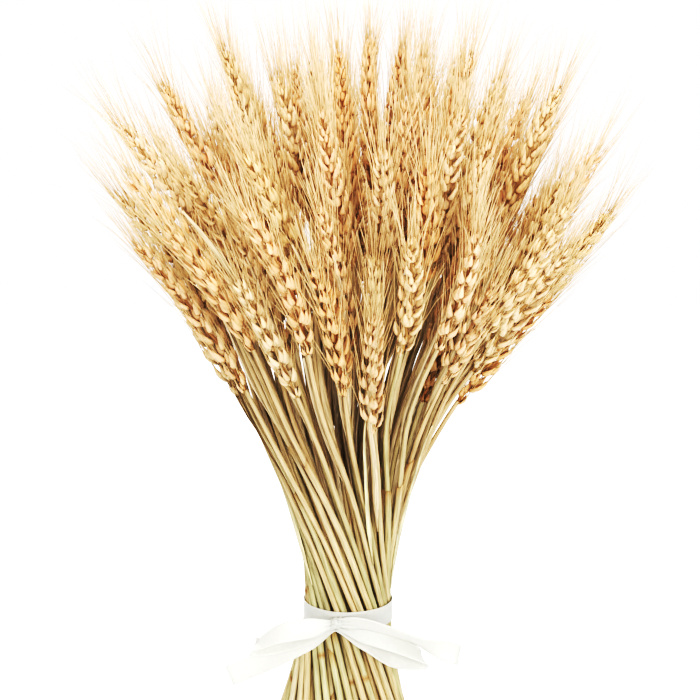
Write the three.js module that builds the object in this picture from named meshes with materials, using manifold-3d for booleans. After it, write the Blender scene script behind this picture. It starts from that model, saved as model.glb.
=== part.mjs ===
// A standing sheaf of dried bearded wheat. Ninety-one stalks cross in a spiral inside a satin
// ribbon tied in a bow, fan out below it to the level cut they stand on, and open above it
// into a round head of ears. Millimetres, +Z up, with the origin on the ground under the
// middle of the sheaf, and the bow on the -Y side.
import * as THREE from "three";
import { mergeVertices } from "three/addons/utils/BufferGeometryUtils.js";
import Module from "manifold-3d";

const wasm = await Module();
wasm.setup();

// The sheaf
const TIE_HEIGHT = 107; // from the cut ends up to the middle of the ribbon
const RINGS = 5; // rings of stems round the middle one, with six more stems in each
const STEM_PITCH = 4; // from one ring of stems to the next at the tie
const PAIR_SPACING = 3.3; // between two stems that the ribbon presses together
const PAIR_OPENING = 70; // height over which a pressed pair opens to even spacing
const WAIST_HEIGHT = 10; // from the middle of the ribbon up to where the sheaf is narrowest
const TWIST = 0.0189; // sideways slope of a stem for each mm from the sheaf's axis at the waist
const FLARE = 0.003; // how much wider the head opens, for each mm up, than straight stems would
const FLARE_START = 50; // the height over which the stems begin to bend outwards
const HEAD_HEIGHT = 200; // above the tie
const HEAD_LEAN = 11.5; // how far the whole head stands over to +X
const LEAN_HEIGHTS = [90, 190]; // between which it leans over
const FOOT_LEAN = 0.055; // sideways slope of the foot, which stands out to -X
const HEAD_SLOPE = 0.07; // fall of the ear tips towards +X across the head
const NOD = 0.2; // how much further out than its place the lowest ear of the last ring hangs
const SWAY = 3.5; // how far each stalk strays from its place at HEAD_HEIGHT
const CENTRE = { x: 7.6, y: 2.7 }; // the middle of the sheaf's overall size, from its axis at the tie
// Lowest and highest ear tip above the tie, for each ring from the middle out
const TIP_RANGES = [[286, 286], [262, 286], [250, 280], [226, 267], [182, 240], [162, 222]];

// A stem
const STEM_SIDES = 4;
const STEM_RADIUS = 1.85; // from the cut end to just above the tie
const NECK_RADIUS = 1.15; // under the ear
const STEM_STEP = 55; // between bends of a stem above the tie

// An ear
const EAR_LENGTHS = [66, 90];
const SPIKELETS = 15; // in two ranks, left and right by turns
const EAR_HALF = 4.7; // from the ear's axis out to the corners of a spikelet
const NOTCH_RADIUS = 2; // of the ear between two spikelets of a rank
const SPIKELET_RISE = 7.5; // how far a spikelet's corners stand above its root
const TIP_RISE = 4; // the end spikelet past the end of the axis

// The awns, each a three-sided needle that grows from the corner of a spikelet
const AWN_WIDTH = 0.9;
const AWN_LENGTHS = [14, 25];
const AWN_ROOTS = [3, 6, 8, 10, 12, 13, 14]; // the spikelets whose awns are modelled
const AWN_SPREAD = 0.2; // sideways slope of an awn away from its ear
const AWN_GAP = 0.5; // left clear between an awn and any other node

// The ribbon
const RIBBON_WIDTH = 10;
const RIBBON_THICKNESS = 0.8;
const BAND_SIDES = 36;
const BAND_GAP = 0.4; // between the turn of ribbon and the stems
const BAND_DIP = 1.6; // how far the bow pulls the front of the turn down
const KNOT = new THREE.Vector3(-5.5, -25.7, TIE_HEIGHT - 1.5);
const KNOT_SIZE = [3.6, 3.1, 3.2];
const PINCH = 0.42; // of its width that the ribbon keeps at the knot
const PINCH_REACH = 15; // from the knot to where the ribbon lies at its full width

const STRAW = 0xe2c48c;
const EAR_GOLD = 0xe6c27f;
const SATIN = 0xf7f8ef;

const { smoothstep } = THREE.MathUtils;
const fraction = (x) => x - Math.floor(x);
const between = ([low, high], share) => low + (high - low) * share;

// Evenly scattered shares from 0 to 1: the same for the same stalk, and unlike its neighbours'
const scatter = {
  tip: (n) => fraction(n * 0.6180339887),
  length: (n) => fraction(0.31 + n * 0.7548776662),
  sway: (n) => fraction(0.17 + n * 0.5698402910),
  roll: (n) => fraction(0.43 + n * 0.8191725134),
  awn: (n) => fraction(0.71 + n * 0.4656112360),
};

// Where each stem passes through the tie, and how tall and long its ear is
function layOutStalks() {
  const stalks = [];
  for (let ring = 0; ring <= RINGS; ring++) {
    const count = Math.max(1, 6 * ring);
    const radius = ring * STEM_PITCH;
    for (let i = 0; i < count; i++) {
      const n = stalks.length;
      const mate = i % 2 ? 1 : -1;
      const pairAngle = (2 * Math.PI * (i + 0.5 * (ring % 2) - mate / 2)) / count;
      const around = (angle) => new THREE.Vector2(radius * Math.cos(angle), radius * Math.sin(angle));
      const swayAngle = 2 * Math.PI * scatter.sway(n);
      const stalk = {
        n,
        node: ring ? `stalks_ring${ring}_${String((i >> 1) + 1).padStart(2, "0")}` : "stalk_middle",
        pressed: around(pairAngle + (ring ? mate * Math.asin(PAIR_SPACING / 2 / radius) : 0)),
        even: around(pairAngle + (mate * Math.PI) / count),
        across: new THREE.Vector3(Math.cos(pairAngle), Math.sin(pairAngle), 0),
        sway: new THREE.Vector2(Math.cos(swayAngle), Math.sin(swayAngle)).multiplyScalar(ring ? SWAY : 0),
        roll: Math.PI * scatter.roll(n),
        nod: ring === RINGS ? NOD * (1 - scatter.tip(n)) : 0,
      };
      stalk.tipHeight = between(TIP_RANGES[ring], scatter.tip(n)) - HEAD_SLOPE * axisPoint(stalk, HEAD_HEIGHT).x;
      const earLength = between(EAR_LENGTHS, scatter.length(n));
      stalk.neckHeight = heightBelow(stalk, stalk.tipHeight, earLength);
      stalks.push(stalk);
    }
  }
  return stalks;
}

// The middle of a stalk at a height above the tie. Up to the tie it is straight, and leans
// sideways in proportion to its distance from the sheaf's axis, so that no two stems cross.
function axisPoint(stalk, height) {
  const above = Math.max(height, 0);
  const bend = (above / HEAD_HEIGHT) ** 2;
  const flare = (1 + (FLARE * above ** 2) / (above + FLARE_START)) * (1 + stalk.nod * bend);
  const twist = TWIST * (height - WAIST_HEIGHT);
  const lean = HEAD_LEAN * smoothstep(height, ...LEAN_HEIGHTS) + FOOT_LEAN * Math.min(height, 0);
  const place = stalk.pressed.clone().lerp(stalk.even, smoothstep(above, 0, PAIR_OPENING));
  return new THREE.Vector3(
    flare * (place.x + twist * place.y) + lean + bend * stalk.sway.x,
    flare * (place.y - twist * place.x) + bend * stalk.sway.y,
    TIE_HEIGHT + height,
  );
}

// The point, direction and two cross directions of a stalk at a height
function axisFrame(stalk, height, roll = 0) {
  const point = axisPoint(stalk, height);
  const along = axisPoint(stalk, height + 1).sub(axisPoint(stalk, height - 1)).normalize();
  const side = stalk.across.clone().addScaledVector(along, -stalk.across.dot(along)).normalize();
  const front = new THREE.Vector3().crossVectors(along, side);
  const turn = (v) => v.clone().applyAxisAngle(along, roll);
  return { point, along, side: turn(side), front: turn(front) };
}

function placed(frame, side, front, along = 0) {
  return frame.point.clone()
    .addScaledVector(frame.side, side)
    .addScaledVector(frame.front, front)
    .addScaledVector(frame.along, along);
}

// The height at which a stalk is a given length short of another height
function heightBelow(stalk, height, length) {
  let left = length;
  let at = height;
  while (left > 0) {
    left -= axisPoint(stalk, at).distanceTo(axisPoint(stalk, at - 1));
    at -= 1;
  }
  return at;
}

// A closed surface over rings of points, each with its angle round the axis. A last ring of
// one point is an apex.
function loft(rings) {
  const surface = { points: [], faces: [] };
  for (const ring of rings) {
    ring.start = surface.points.length;
    surface.points.push(...ring.points);
  }
  const index = (ring, i) => ring.start + (i % ring.points.length);
  const angle = (ring, i) => ring.angles[i % ring.angles.length]
    + 2 * Math.PI * Math.floor(i / ring.angles.length);
  const [foot, end] = [rings[0], rings[rings.length - 1]];
  for (let i = 2; i < foot.points.length; i++) {
    surface.faces.push([index(foot, 0), index(foot, i), index(foot, i - 1)]);
  }
  for (let r = 1; r < rings.length; r++) {
    const [low, high] = [rings[r - 1], rings[r]];
    const [lows, highs] = [low.points.length, high.points.length];
    let [i, j] = [0, 0];
    while (i < lows || (highs > 1 && j < highs)) {
      const stepLow = highs === 1 || j === highs
        || (i < lows && angle(low, i + 1) < angle(high, j + 1));
      const next = stepLow ? index(low, i + 1) : index(high, j + 1);
      surface.faces.push([index(low, i), next, index(high, j)]);
      if (stepLow) i += 1;
      else j += 1;
    }
  }
  for (let i = 2; i < end.points.length; i++) {
    surface.faces.push([index(end, 0), index(end, i - 1), index(end, i)]);
  }
  return surface;
}

function toSolid(geometry) {
  const bare = geometry.clone();
  bare.deleteAttribute("normal");
  bare.deleteAttribute("uv");
  const merged = mergeVertices(bare, 1e-4);
  return new wasm.Manifold(new wasm.Mesh({
    numProp: 3,
    vertProperties: merged.attributes.position.array,
    triVerts: new Uint32Array(merged.index.array),
  }));
}

function surfaceSolid({ points, faces }) {
  const geometry = new THREE.BufferGeometry().setFromPoints(points).setIndex(faces.flat());
  return toSolid(geometry);
}

function toGeometry(solid) {
  const mesh = solid.getMesh();
  const geometry = new THREE.BufferGeometry()
    .setAttribute("position", new THREE.BufferAttribute(mesh.vertProperties, 3))
    .setIndex(new THREE.BufferAttribute(mesh.triVerts, 1));
  geometry.computeVertexNormals();
  return geometry;
}

// Points round a stem, as seen from above its cut end
function stemRing(stalk, height, radius) {
  const frame = axisFrame(stalk, height);
  const angles = Array.from({ length: STEM_SIDES }, (_, i) => (2 * Math.PI * i) / STEM_SIDES);
  const points = angles.map((a) => placed(frame, radius * Math.cos(a), radius * Math.sin(a)));
  return { points, angles, frame };
}

function stemRings(stalk) {
  const foot = stemRing(stalk, -TIE_HEIGHT, STEM_RADIUS);
  for (const point of foot.points) {
    point.addScaledVector(foot.frame.along, -point.z / foot.frame.along.z);
    point.z = 0;
  }
  const bends = Math.round(stalk.neckHeight / STEM_STEP);
  const rings = [foot, stemRing(stalk, 0, STEM_RADIUS)];
  for (let i = 1; i <= bends; i++) {
    const share = i / bends;
    const radius = between([STEM_RADIUS, NECK_RADIUS], share);
    rings.push(stemRing(stalk, stalk.neckHeight * share, radius));
  }
  return rings;
}

// How big a spikelet is at a share of the ear's length: small at the neck and at the tip
const earSize = (share) => 1 - 0.5 * Math.max(0, 1 - 4 * share) ** 2 - 0.42 * share ** 3;

// The size of a spikelet and its place on the axis
function spikeletFrame(stalk, i) {
  const share = (i + 0.5) / SPIKELETS;
  const height = between([stalk.neckHeight, stalk.tipHeight], share);
  return { size: earSize(share), frame: axisFrame(stalk, height, stalk.roll) };
}

// One of the two outer corners of a spikelet, towards the front or the back of the ear. The
// spikelets stand on the left and the right by turns.
function spikeletCorner(stalk, i, front) {
  const { size, frame } = spikeletFrame(stalk, i);
  const side = i % 2 ? 1 : -1;
  const reach = EAR_HALF * size;
  return { side, frame, root: placed(frame, side * reach, front * reach, SPIKELET_RISE * size) };
}

// One spikelet opens like a fan, from a notch on the far side of the ear to its two corners
function spikeletRing(stalk, i) {
  const { size, frame } = spikeletFrame(stalk, i);
  const side = i % 2 ? 1 : -1;
  const notch = { point: placed(frame, -side * NOTCH_RADIUS * size, 0), angle: side < 0 ? 0 : Math.PI };
  const corners = [1, -1].map((front) => ({
    point: spikeletCorner(stalk, i, front).root,
    angle: Math.atan2(front, side),
  }));
  const turned = [notch, ...corners].map(({ point, angle }) => ({
    point,
    angle: (angle + stalk.roll + 4 * Math.PI) % (2 * Math.PI),
  })).sort((a, b) => a.angle - b.angle);
  return { points: turned.map((c) => c.point), angles: turned.map((c) => c.angle) };
}

function stalkSolid(stalk) {
  const spikelets = Array.from({ length: SPIKELETS }, (_, i) => spikeletRing(stalk, i));
  const tip = axisFrame(stalk, stalk.tipHeight);
  const apex = { points: [placed(tip, 0, 0, TIP_RISE)], angles: [0] };
  const surface = loft([...stemRings(stalk), ...spikelets, apex]);
  for (const awn of stalk.awns) {
    const { start, points } = spikelets[awn.spikelet];
    const corner = points.findIndex((point) => point.distanceTo(awn.root) < 1e-6);
    growAwn(surface, start + corner, awn);
  }
  return surfaceSolid(surface);
}

// Opens the face at a corner that looks most the way of the awn, and draws the needle out of it
function growAwn({ points, faces }, corner, awn) {
  const look = (face) => new THREE.Triangle(...face.map((i) => points[i]))
    .getNormal(new THREE.Vector3()).dot(awn.away);
  const around = faces.filter((face) => face.includes(corner));
  const face = around.reduce((best, other) => (look(other) > look(best) ? other : best));
  if (look(face) < 0.15) return;
  const turn = face.indexOf(corner);
  const [b, c] = [face[(turn + 1) % 3], face[(turn + 2) % 3]];
  const toB = points[b].clone().sub(awn.root).normalize();
  const toC = points[c].clone().sub(awn.root).normalize();
  const foot = (share) => points.push(toB.clone().lerp(toC, share).setLength(AWN_WIDTH).add(awn.root)) - 1;
  const [p, q, tip] = [foot(0.15), foot(0.85), points.push(awn.tip) - 1];
  faces.splice(faces.indexOf(face), 1,
    [corner, b, p], [p, b, q], [b, c, q], [c, corner, q],
    [corner, p, tip], [p, q, tip], [q, corner, tip]);
}

// The awns of one ear, as straight lines from the corners of its spikelets
function awnLines(stalk, spread) {
  return AWN_ROOTS.map((spikelet, order) => {
    const front = order % 4 < 2 ? 1 : -1;
    const { side, root, frame } = spikeletCorner(stalk, spikelet, front);
    const length = between(AWN_LENGTHS, scatter.awn(stalk.n * AWN_ROOTS.length + order));
    const away = frame.along.clone()
      .addScaledVector(frame.side, side * spread)
      .addScaledVector(frame.front, front * spread)
      .normalize();
    return { spikelet, root, tip: root.clone().addScaledVector(away, length), away };
  });
}

// A stalk as a chain of balls, to find what comes near what
function hullBalls(stalk) {
  const balls = [];
  const step = 3;
  for (let height = -TIE_HEIGHT; height <= stalk.tipHeight + TIP_RISE; height += step) {
    const share = (height - stalk.neckHeight) / (stalk.tipHeight - stalk.neckHeight);
    const inEar = share > -0.02;
    const radius = inEar ? EAR_HALF * Math.SQRT2 * earSize(Math.min(share + 0.1, 1)) : STEM_RADIUS;
    balls.push({ centre: axisPoint(stalk, height), radius });
  }
  return balls;
}

const sampledPoints = (line, count = 16) =>
  Array.from({ length: count + 1 }, (_, i) => line.root.clone().lerp(line.tip, i / count));

// Awns that stay clear of every other node, drawn in towards their own ear where they must be
function clearAwns(stalks) {
  const balls = stalks.map(hullBalls);
  const laid = [];
  const clear = (line, stalk) => sampledPoints(line).every((point) =>
    stalks.every((other, k) => other.node === stalk.node || balls[k].every((ball) =>
      ball.centre.distanceTo(point) > ball.radius + AWN_WIDTH / 2 + AWN_GAP))
    && laid.every((past) => past.node === stalk.node || past.points.every((p) =>
      p.distanceTo(point) > AWN_WIDTH + 1.6)));
  for (const stalk of stalks) {
    stalk.awns = [];
    const tries = [1, 0.7, 0.45, 0.2, 0].map((share) => awnLines(stalk, AWN_SPREAD * share));
    AWN_ROOTS.forEach((_, order) => {
      const line = tries.map((lines) => lines[order]).find((l) => clear(l, stalk));
      if (!line) return;
      stalk.awns.push(line);
      laid.push({ node: stalk.node, points: sampledPoints(line) });
    });
  }
}

// The strips of the bow: routes through points relative to the knot, with the direction
// across the ribbon at each point
const BOW = {
  leftLoop: {
    points: [[0, -1, 0], [-14, -4, -1.5], [-28, -5, -4], [-41, -1, -12], [-28, 1.5, -10.5], [-14, 0.5, -6], [0, 0, -1.5]],
    across: [[0, 0.2, 1], [0.1, 0.4, 1], [0.3, 0.5, 0.9], [0.5, 0.6, 0.6], [0.1, 0.4, 1], [0, 0.3, 1], [0, 0.2, 1]],
    steps: 14,
  },
  rightLoop: {
    points: [[0, -1, -1], [14, -4, -4], [29, -5, -9], [43, -1, -18], [29, 1, -18], [15, -0.5, -9], [0, 0, -2]],
    across: [[0, 0.2, 1], [-0.1, 0.4, 1], [-0.3, 0.5, 0.9], [-0.5, 0.6, 0.6], [-0.2, 0.4, 1], [-0.2, 0.3, 1], [0, 0.2, 1]],
    steps: 14,
  },
  leftTail: {
    points: [[0, 1, -1], [-12, 2, -8], [-30, 4, -18], [-54, 7, -29]],
    across: [[0, 0.1, 1], [0.2, 0.1, 1], [0.4, 0.1, 0.9], [0.2, 0.1, 1]],
    steps: 7,
  },
  rightTail: {
    points: [[0, -2, 1], [12, -6, 1.5], [34, -6, -5.5], [61, 2, -17]],
    across: [[0, 0.2, 1], [0, -0.6, 0.8], [0.2, -0.8, 0.5], [0.6, 0.1, 0.8]],
    steps: 7,
  },
};

// A smooth route through the points of a strip
function stationsAlong({ points, across, steps }) {
  const route = new THREE.CatmullRomCurve3(points.map((p) => new THREE.Vector3(...p)));
  const wide = new THREE.CatmullRomCurve3(across.map((d) => new THREE.Vector3(...d)));
  return Array.from({ length: steps + 1 }, (_, i) => ({
    point: route.getPoint(i / steps),
    along: route.getTangent(i / steps),
    across: wide.getPoint(i / steps),
  }));
}

// A flat strip of ribbon along its stations, narrowed where the knot pinches it
function ribbonStrip(strip) {
  const rings = stationsAlong(strip).map(({ point, along, across }) => {
    const wide = across.addScaledVector(along, -across.dot(along)).normalize();
    const out = new THREE.Vector3().crossVectors(along, wide);
    const open = smoothstep(Math.abs(point.x), 0, PINCH_REACH);
    const half = (RIBBON_WIDTH / 2) * between([PINCH, 1], open);
    const points = [[1, 1], [-1, 1], [-1, -1], [1, -1]].map(([w, o]) => point.clone()
      .addScaledVector(wide, w * half)
      .addScaledVector(out, (o * RIBBON_THICKNESS) / 2)
      .add(KNOT));
    const angles = [1, 3, 5, 7].map((eighth) => (eighth * Math.PI) / 4);
    return { points, angles };
  });
  return surfaceSolid(loft(rings));
}

// How far the outermost stems stand from the axis at a height above the tie, up to their skin
function sheafRadius(height) {
  const twist = TWIST * (height - WAIST_HEIGHT);
  return RINGS * STEM_PITCH * Math.hypot(1, twist) + STEM_RADIUS;
}

// The turn of ribbon round the stems. It lies on them, and the bow draws its front down.
function band() {
  const half = RIBBON_WIDTH / 2;
  const profile = [[0, -half], [1, -half], [1, half], [0, half], [0, -half]];
  const turn = new THREE.LatheGeometry(profile.map(([r, z]) => new THREE.Vector2(r + 1, z)), BAND_SIDES);
  turn.rotateX(Math.PI / 2);
  const position = turn.attributes.position;
  const point = new THREE.Vector3();
  for (let i = 0; i < position.count; i++) {
    point.fromBufferAttribute(position, i);
    const out = Math.hypot(point.x, point.y);
    const height = point.z + (BAND_DIP * point.y) / out;
    const radius = sheafRadius(height) + BAND_GAP + (out - 1) * RIBBON_THICKNESS;
    position.setXYZ(i, (point.x / out) * radius, (point.y / out) * radius, TIE_HEIGHT + height);
  }
  return toSolid(turn);
}

function ribbon() {
  const knot = new THREE.SphereGeometry(1, 8, 6).scale(...KNOT_SIZE).translate(...KNOT);
  const pieces = [band(), toSolid(knot), ...Object.values(BOW).map(ribbonStrip)];
  return pieces.reduce((whole, piece) => whole.add(piece));
}

function namedMesh(name, solid, colour, roughness) {
  const material = new THREE.MeshStandardMaterial({ color: colour, roughness, metalness: 0, flatShading: true });
  const mesh = new THREE.Mesh(toGeometry(solid), material);
  mesh.name = name;
  return mesh;
}

function wheatSheaf() {
  const sheaf = new THREE.Group();
  const stalks = layOutStalks();
  clearAwns(stalks);
  for (const node of new Set(stalks.map((stalk) => stalk.node))) {
    const solid = stalks.filter((stalk) => stalk.node === node)
      .map(stalkSolid)
      .reduce((whole, piece) => whole.add(piece));
    sheaf.add(namedMesh(node, solid, node.includes("ring5") ? EAR_GOLD : STRAW, 0.75));
  }
  sheaf.add(namedMesh("ribbon", ribbon(), SATIN, 0.35));
  sheaf.position.set(-CENTRE.x, -CENTRE.y, 0);
  return sheaf;
}

export default wheatSheaf();
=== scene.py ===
# The looks of a standing sheaf of dried bearded wheat: round stems in their leaf sheaths, ears
# built husk by husk with long fine awns, and a white satin ribbon tied in a bow. The sheaf is
# laid out in millimetres from its axis at the ribbon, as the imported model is.
import math
from dataclasses import dataclass, make_dataclass

import bpy
import numpy as np
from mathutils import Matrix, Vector


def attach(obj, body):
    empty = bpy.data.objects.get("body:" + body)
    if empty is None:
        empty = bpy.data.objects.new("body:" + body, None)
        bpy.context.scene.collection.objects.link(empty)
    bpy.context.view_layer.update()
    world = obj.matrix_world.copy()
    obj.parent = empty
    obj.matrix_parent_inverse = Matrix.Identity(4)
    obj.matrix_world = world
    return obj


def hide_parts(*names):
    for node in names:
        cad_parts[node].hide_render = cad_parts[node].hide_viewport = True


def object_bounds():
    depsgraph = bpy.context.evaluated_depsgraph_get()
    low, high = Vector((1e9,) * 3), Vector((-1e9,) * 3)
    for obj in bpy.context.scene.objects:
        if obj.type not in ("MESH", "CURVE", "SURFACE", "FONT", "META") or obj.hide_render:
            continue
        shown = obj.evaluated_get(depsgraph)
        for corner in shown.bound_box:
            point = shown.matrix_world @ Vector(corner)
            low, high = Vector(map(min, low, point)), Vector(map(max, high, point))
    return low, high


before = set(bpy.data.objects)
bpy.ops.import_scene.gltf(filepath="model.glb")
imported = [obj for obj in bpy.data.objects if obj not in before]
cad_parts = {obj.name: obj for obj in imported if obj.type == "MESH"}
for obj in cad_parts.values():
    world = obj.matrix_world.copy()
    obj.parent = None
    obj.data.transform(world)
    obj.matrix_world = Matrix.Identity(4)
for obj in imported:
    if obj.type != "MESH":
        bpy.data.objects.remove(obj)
cad_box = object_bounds()

MM = 0.001
SEED = 7

# The sheaf
TIE_HEIGHT = 107  # from the cut ends up to the middle of the ribbon
RINGS = 5  # round the middle stem, with six more stems in each
STEM_PITCH = 4  # from one ring to the next at the tie
INNER_RADIUS = 18  # at the tie, inside which a stem is an inner one
PAIR_SPACING = 3.3  # between two stems of a pressed pair
PAIR_OPENING = 70  # height over which a pair opens to even spacing
WAIST_HEIGHT = 10  # above the tie, where the sheaf is narrowest
TWIST = 0.0189  # sideways slope of a stem for each mm from the axis at the waist
FLARE = 0.003  # how much wider the stems open, for each mm up
FLARE_START = 50  # the height over which they begin to
HEAD_HEIGHT = 200  # above the tie
HEAD_LEAN = 11.5  # how far the whole head stands over to +X
LEAN_HEIGHTS = (90, 190)  # between which it leans over
FOOT_LEAN = 0.055  # sideways slope of the foot, towards -X
HEAD_SLOPE = 0.07  # fall of the ear tips towards +X
NOD = 0.2  # how much further out the lowest ear of the last ring hangs
SWAY = 3.5  # how far a stalk strays from its place at HEAD_HEIGHT
CENTRE = np.array([7.6, 2.7, 0])  # of the sheaf's overall size, from its axis at the tie
WAVE = 1.1  # how far a stem wanders from its line above the tie
WAVE_HEIGHTS = (10, 90)  # between which it comes to that
WAVE_LENGTH = 120
WAVE_RATE = 1.3  # how much faster it wanders in depth than in width
# Heights of the ears' tips above the tie, ring by ring
TIP_RANGES = [(286, 286), (262, 286), (250, 280), (226, 267), (182, 240), (162, 222)]
EAR_LENGTHS = (66, 90)

# A stem: the bare stalk, and the leaf sheath that wraps its lower part
STEM_SIDES = 8
STEM_STEP = 8
STALK_RADII = (1.55, 1.15)  # at the tie and under the ear
STALK_LAP = 1  # how far it goes on into the sheath and the ear
SHEATH_RADIUS = 1.75
SHEATH_MOUTHS = (-60, 110)  # where the sheaths end, above the tie
SHEATH_DEPTH = 5  # how far down inside its mouth it is open
SHEATH_FIT = 0.05  # how far its mouth stands off the stalk
MOUTH_SLANT = 2.2
MOUTH_TEAR = 0.7
HOLLOW_RADIUS = 0.9  # of the hole in a cut end
HOLLOW_DEPTH = 1.8
JOINT_HEIGHTS = (-95, 20)  # where a stem's thickened joint is
JOINT_SWELL = 0.28
JOINT_HALF = 2.2
JOINT_STATIONS = 5
JOINT_MARGIN = 1  # left clear at the sheath's ends

# Dry leaf blades: brown ones rolled up beside the stems, on the outer stems turned inwards,
# and pale strips that run up across the outer stems
INNER_BLADES = 2  # brown ones on an inner stem, at most. An outer stem has one.
BLADE_SHARE = 0.85  # of those that are still there
STRIP_SHARE = 0.25  # of the outer stems with a pale strip
LEAF_LENGTHS = (70, 110)
LEAF_STEPS = 16
LEAF_STRANDS = 5
LEAF_RADIUS = 2.5
LEAF_ROOT = 0.15  # share of that at its root
LEAF_ROOT_REACH = 0.25  # share of its length over which it widens
LEAF_POINT = 1.05  # share of its length at which it would end in a point
LEAF_TURN = 1  # radians that it turns round its stem, at most
LEAF_SWING = 0.25  # how much nearer its side it stays on an outer stem
LEAF_STRAY = 3  # how far its tip stands off the stem
LEAF_THICKNESS = 0.3


@dataclass
class Leaf:
    starts: tuple  # where it leaves its stem, above the tie
    side: float  # of an outer stem, in radians from the sheaf's outside
    roll: float  # radians that each half of it is rolled
    stand: float  # how far it stands off the stems
    turns: tuple  # radians that it runs round the sheaf
    tints: list


BLADE = Leaf((35, 105), math.pi, 1.45, 0, (), ["#d6c2a2", "#c6ae8b", "#dccaad", "#beaa8a"])
STRIP = Leaf((-20, 60), 0, 1.0, 0.4, (0, 0.55), ["#e2dcb4"])

# An ear: spikelets stand left and right by turns on its axis, each a fan of husks
SPIKELET_PITCH = 3.6
CROWN_RISE = 3  # from the last spikelet's root to the ear's end
SPIKELET_LEAN = 14  # degrees that one of full size leans out from the ear
SMALL_LEAN = 0.4  # share of that for one of no size
OPENINGS = (0.85, 1.25)  # how widely the spikelets of an ear lean and fan out
NECK_SLIMMING = 0.6  # how much smaller the first one is
NECK_REACH = 0.25  # share of the ear's length over which they grow
TIP_SLIMMING = 0.6  # how much smaller the last one is
TIP_CURVE = 2.5  # how late they shrink towards it, as a power
SLIM_LENGTH = 0.3  # share of its length that a husk has at no size
RACHIS_SIDES = 5
RACHIS_RADIUS = 1.0
RACHIS_TAPER = 0.6  # share of that at its tip
RACHIS_ZIGZAG = 0.8  # from its axis out to the spikelets' roots
RACHIS_SWING = 0.6  # share of the way to them that it steps
HUSK_SIDES = 7
# Along a husk from root to point: share of its length and of its full width
HUSK_PROFILE = [(0.07, 0.6), (0.27, 1.0), (0.52, 0.84), (0.77, 0.38)]
HUSK_BOW = 0.1  # how far it bulges out, as a share of its length
HUSK_BACK = 0.7  # depth of its inner side, as a share of its outer one
HUSK_SCALES = (0.93, 1.07)  # of the husks' sizes
LEAN_SPREAD = 2  # in degrees, like the next two
FAN_SPREAD = 2.5
FACING_SPREAD = 4
CROWN_SCALES = (1.1, 1.0, 0.9, 0.8)  # of the lengths of the husks at an ear's end
CROWN_TURN = 20  # degrees from the ear's side to the first of them


@dataclass
class Husk:
    """One kind of husk in a spikelet. Angles are in degrees, and signed to the front side."""

    fan: float  # lean towards the front
    facing: float  # turn of its keel from the rank's outside towards the front
    lift: float  # of its root up the spikelet
    out: float  # of its root away from the rachis
    offset: float  # of its root towards the front
    length: float
    half_width: float
    depth: float
    lean: float  # share of the spikelet's lean that it has
    awn: float  # length of its awn, as a share of a lemma's


GLUME = Husk(20, 66, -0.4, 0.4, 1.2, 9.8, 1.9, 1.55, 1, 0.45)
LEMMA = Husk(15, 40, 1.2, 0.8, 1.0, 11.4, 2.0, 1.7, 1, 1)
FLORET = Husk(5, 12, 3.2, 1.2, 0.4, 10.2, 1.8, 1.6, 1, 0.9)
PALEA = Husk(0, 90, 2.4, -0.6, 0.1, 9.5, 1.9, 1.5, 0.2, 0.8)  # closes the spikelet at the rachis
CROWN = Husk(5, 80, 0, 0.2, 0.3, 9.5, 1.7, 1.5, 1, 0.8)  # at an ear's end

# The awns
AWN_LENGTHS = (26, 46)
AWN_SHARE = 0.95  # of the husks that still have theirs
AWN_ROOT = 0.97  # share of the husk's length at which it is rooted
AWN_RADII = (0.4, 0.2, 0.15)  # at its root and its next two stations
AWN_STATIONS = (0, 0.15, 0.6)
AWN_SIDES = 3
AWN_ALIGNMENT = 0.5  # how far the awns of an ear run alike, from 0 to 1
AWN_HEADING = 0.6  # share of the ear's length whose direction they take
AWN_RISE = 0.22  # how strongly the awns turn up
AWN_STRAY = 0.08
AWN_BENDS = (0.04, 0.08)  # mean and spread of their outward bow, as shares of their length
AWN_MARGIN = 4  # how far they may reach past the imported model's box
AWN_STUB = 0.15  # share of its length that one cut short there keeps

# The ribbon
RIBBON_WIDTH = 10
RIBBON_THICKNESS = 0.3
SELVEDGE = 1.5  # thickness of its edges, as a share of its own
RIBBON_STRANDS = 9  # points across it
RIBBON_DETAIL = 5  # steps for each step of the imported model's strips
BAND_GAP = 0.4  # between the turn and the stems
BAND_DIP = 1.6  # how far the bow pulls its front down
BAND_STEPS = 130
BAND_PHASE = 0.4  # where along its waves it starts, in radians
KNOT = np.array([-5.5, -25.7, TIE_HEIGHT - 1.5])
KNOT_HALF = 3.1  # half the width of its wrap
KNOT_RADII = (3.3, 2.7)  # of its wrap, front to back and up
KNOT_STEPS = 40
KNOT_PHASE = 1.1
KNOT_SLANT = 0.5  # how far the wrap runs to the side
KNOT_WAIST = 0.15  # how much narrower it is at its front and back
KNOT_PLEATS = 0.5  # how strongly it is pleated, from 0 to 1
KNOT_RISE = 1.4  # how much higher the turn is where it meets the knot
KNOT_STAND = 0.9  # how much further out it is there
KNOT_WIDTH = 0.7  # of its width that the turn keeps there
KNOT_ARC = 0.55  # in radians, how near it the turn is gathered
PINCH = 0.42  # of its width that a strip keeps at the knot
PINCH_REACH = 15  # from the knot to where it has its full width
PLEAT = 0.7  # height of the pleats
PLEAT_TURN = 2.5 * math.pi  # their waves from the middle to an edge, in radians
CURL = 0.55  # how far the edges of a loose strip curl
CURL_SINK = 0.35  # how far its middle sinks for that, as a share
CURL_RUN = 13  # length for a radian of those waves
RIPPLE = 0.45  # how far one edge rises while the other falls
RIPPLE_RUN = 7
BOW_PHASE = 1.7  # from one strip of the bow to the next
SAME_POINT = 0.01  # the root of the distance under which two points are one

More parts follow.
